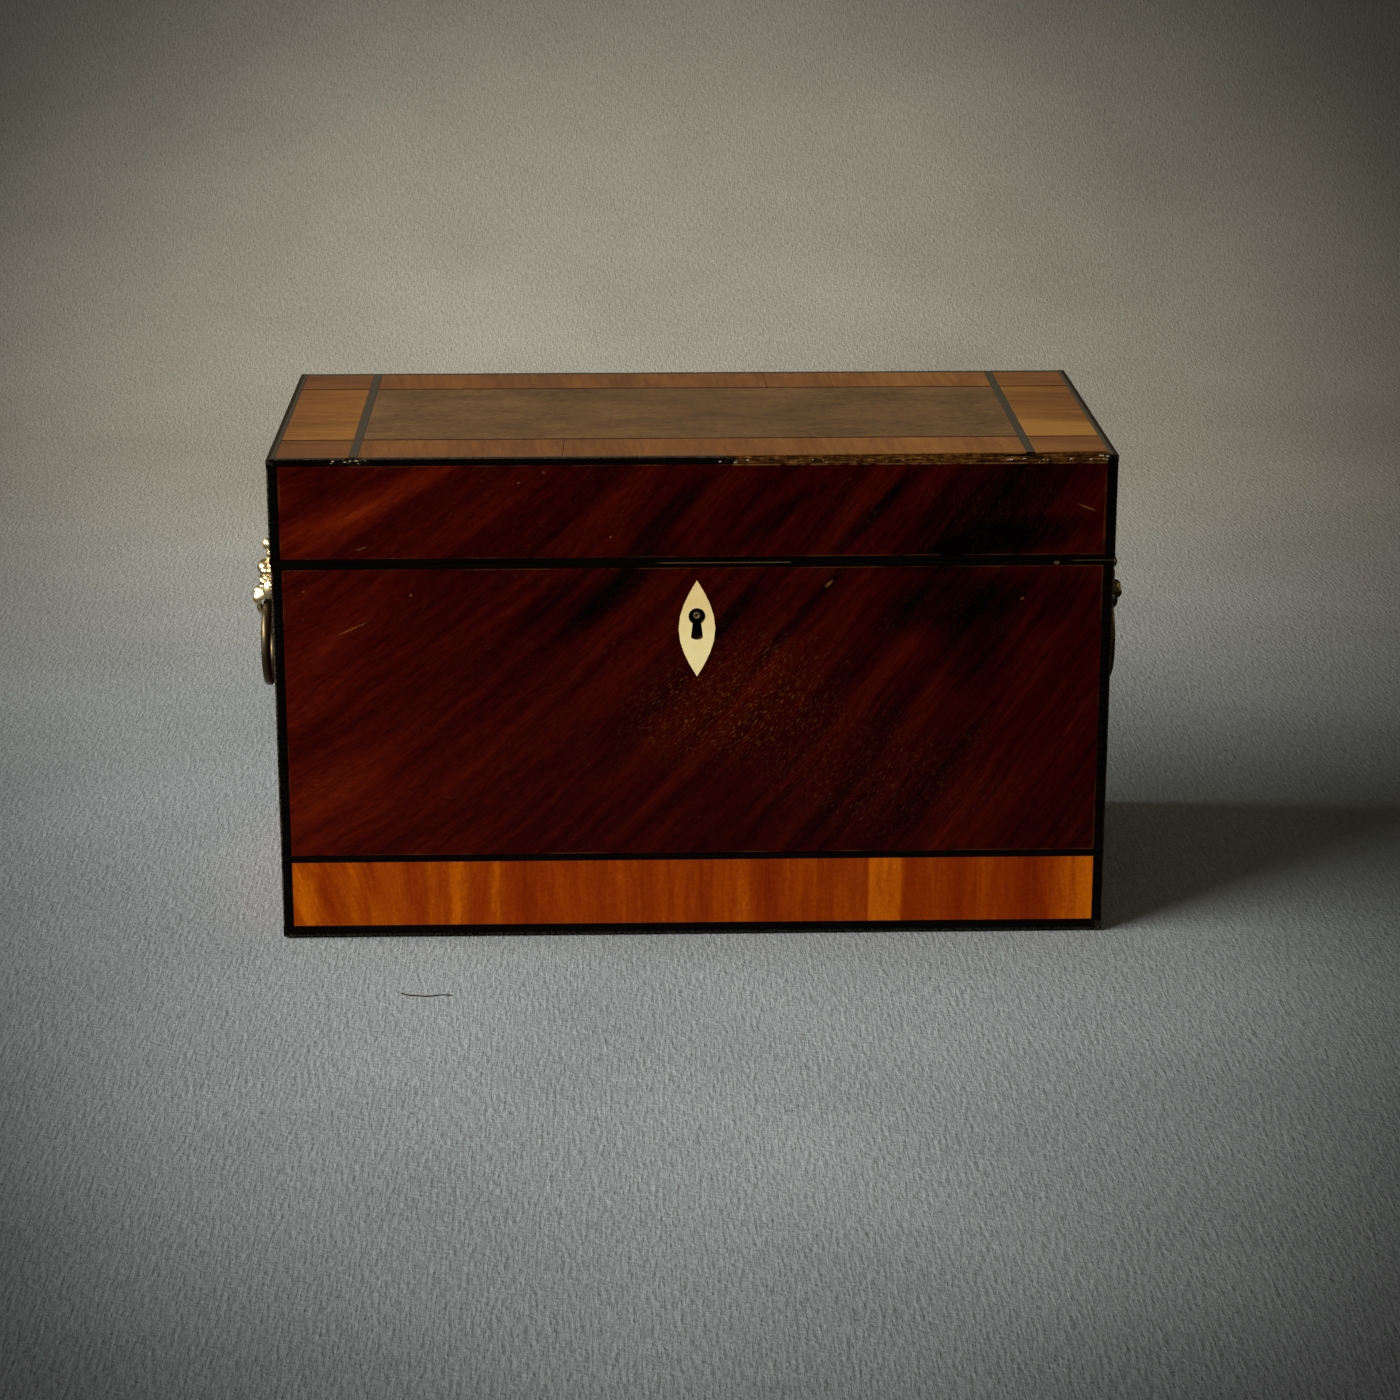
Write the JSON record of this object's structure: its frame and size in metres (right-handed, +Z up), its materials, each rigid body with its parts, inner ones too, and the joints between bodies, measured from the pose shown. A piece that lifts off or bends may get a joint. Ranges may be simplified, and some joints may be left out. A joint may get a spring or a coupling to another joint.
{
  "type": "tea caddy",
  "caption": "Rectangular wooden tea caddy with a hinged lid, inlaid bands, a box lock, ring handles on lion masks, two lift-out canisters and a glass mixing bowl.",
  "frame": {"origin": "middle of the case's footprint on the surface that the caddy stands on", "axes": "+Z up, +X to the right of somebody facing the escutcheon, +Y from the front to the hinges at the back"},
  "size_m": [0.3352, 0.1589, 0.1822],
  "materials": {
    "mahogany": "french-polished flame mahogany veneer, dark red-brown with orange streaks",
    "plain_mahogany": "oiled plain mahogany, satin",
    "faded_mahogany": "sun-faded mahogany veneer, olive brown, satin polish",
    "satinwood": "polished satinwood crossbanding, golden orange",
    "ebony": "polished ebony edging and stringing, worn arrises",
    "pine": "bare pine carcass, aged",
    "bone": "aged bone, yellowed, satin",
    "worn_brass": "toned brass, dull",
    "bright_brass": "polished cast brass with darker hollows",
    "baize": "green wool baize",
    "velvet": "worn crimson velvet",
    "tea_foil": "dull tea-pewter foil, hand pressed",
    "glass": "clear blown glass"
  },
  "bodies": {
    "case": {"base_baize": "baize", "bottom_board": "pine", "front_board": "pine", "back_board": "pine", "left_board": "pine", "right_board": "pine", "front_veneer": "mahogany", "back_veneer": "mahogany", "left_veneer": "mahogany", "right_veneer": "mahogany", "front_band": "satinwood", "left_band": "satinwood", "right_band": "satinwood", "case_edging": "ebony", "escutcheon": "bone", "inner_liner": "plain_mahogany", "left_partition": "plain_mahogany", "right_partition": "plain_mahogany", "bowl_board": "plain_mahogany", "lock_case": "worn_brass", "lock_pin": "worn_brass", "left_hinge_case_leaf": "worn_brass", "right_hinge_case_leaf": "worn_brass", "left_hinge_pin": "worn_brass", "right_hinge_pin": "worn_brass", "left_mask": "bright_brass", "right_mask": "bright_brass"},
    "lid": {"lid_front_rail": "pine", "lid_back_rail": "pine", "lid_left_rail": "pine", "lid_right_rail": "pine", "lid_top_board": "pine", "lid_front_veneer": "mahogany", "lid_back_veneer": "mahogany", "lid_left_veneer": "mahogany", "lid_right_veneer": "mahogany", "lid_centre_panel": "faded_mahogany", "lid_front_band": "satinwood", "lid_back_band": "satinwood", "lid_left_end": "satinwood", "lid_right_end": "satinwood", "left_cross_string": "ebony", "right_cross_string": "ebony", "lid_edging": "ebony", "lid_lining": "velvet", "lock_link_plate": "worn_brass", "left_hinge_lid_leaf": "worn_brass", "right_hinge_lid_leaf": "worn_brass"},
    "left_ring": {"left_ring": "bright_brass"},
    "right_ring": {"right_ring": "bright_brass"},
    "lock_bolt": {"lock_bolt": "worn_brass"},
    "left_canister": {"left_canister": "plain_mahogany", "left_canister_foil": "tea_foil"},
    "right_canister": {"right_canister": "plain_mahogany", "right_canister_foil": "tea_foil"},
    "left_canister_lid": {"left_canister_lid": "plain_mahogany", "left_canister_knob": "bone"},
    "right_canister_lid": {"right_canister_lid": "plain_mahogany", "right_canister_knob": "bone"},
    "bowl": {"glass_bowl": "glass"}
  },
  "joints": [
    {"name": "lid_hinge", "type": "hinge", "parent": "case", "child": "lid", "pos_m": [0, 0.0796, 0.14335], "axis": [-1, 0, 0], "range_deg": [0, 100]},
    {"name": "left_ring_swing", "type": "hinge", "parent": "case", "child": "left_ring", "pos_m": [-0.1615, 0, 0.1085], "axis": [0, 1, 0], "range_deg": [-12, 120]},
    {"name": "right_ring_swing", "type": "hinge", "parent": "case", "child": "right_ring", "pos_m": [0.1615, 0, 0.1085], "axis": [0, -1, 0], "range_deg": [-12, 120]},
    {"name": "lock_bolt_slide", "type": "slide", "parent": "case", "child": "lock_bolt", "axis": [1, 0, 0], "range_m": [0, 0.005]},
    {"name": "left_canister_lift", "type": "slide", "parent": "case", "child": "left_canister", "axis": [0, 0, 1], "range_m": [0, 0.014]},
    {"name": "right_canister_lift", "type": "slide", "parent": "case", "child": "right_canister", "axis": [0, 0, 1], "range_m": [0, 0.014]},
    {"name": "left_canister_lid_lift", "type": "slide", "parent": "left_canister", "child": "left_canister_lid", "axis": [0, 0, 1], "range_m": [0, 0.014]},
    {"name": "right_canister_lid_lift", "type": "slide", "parent": "right_canister", "child": "right_canister_lid", "axis": [0, 0, 1], "range_m": [0, 0.014]},
    {"name": "bowl_lift", "type": "slide", "parent": "case", "child": "bowl", "axis": [0, 0, 1], "range_m": [0, 0.03]}
  ]
}
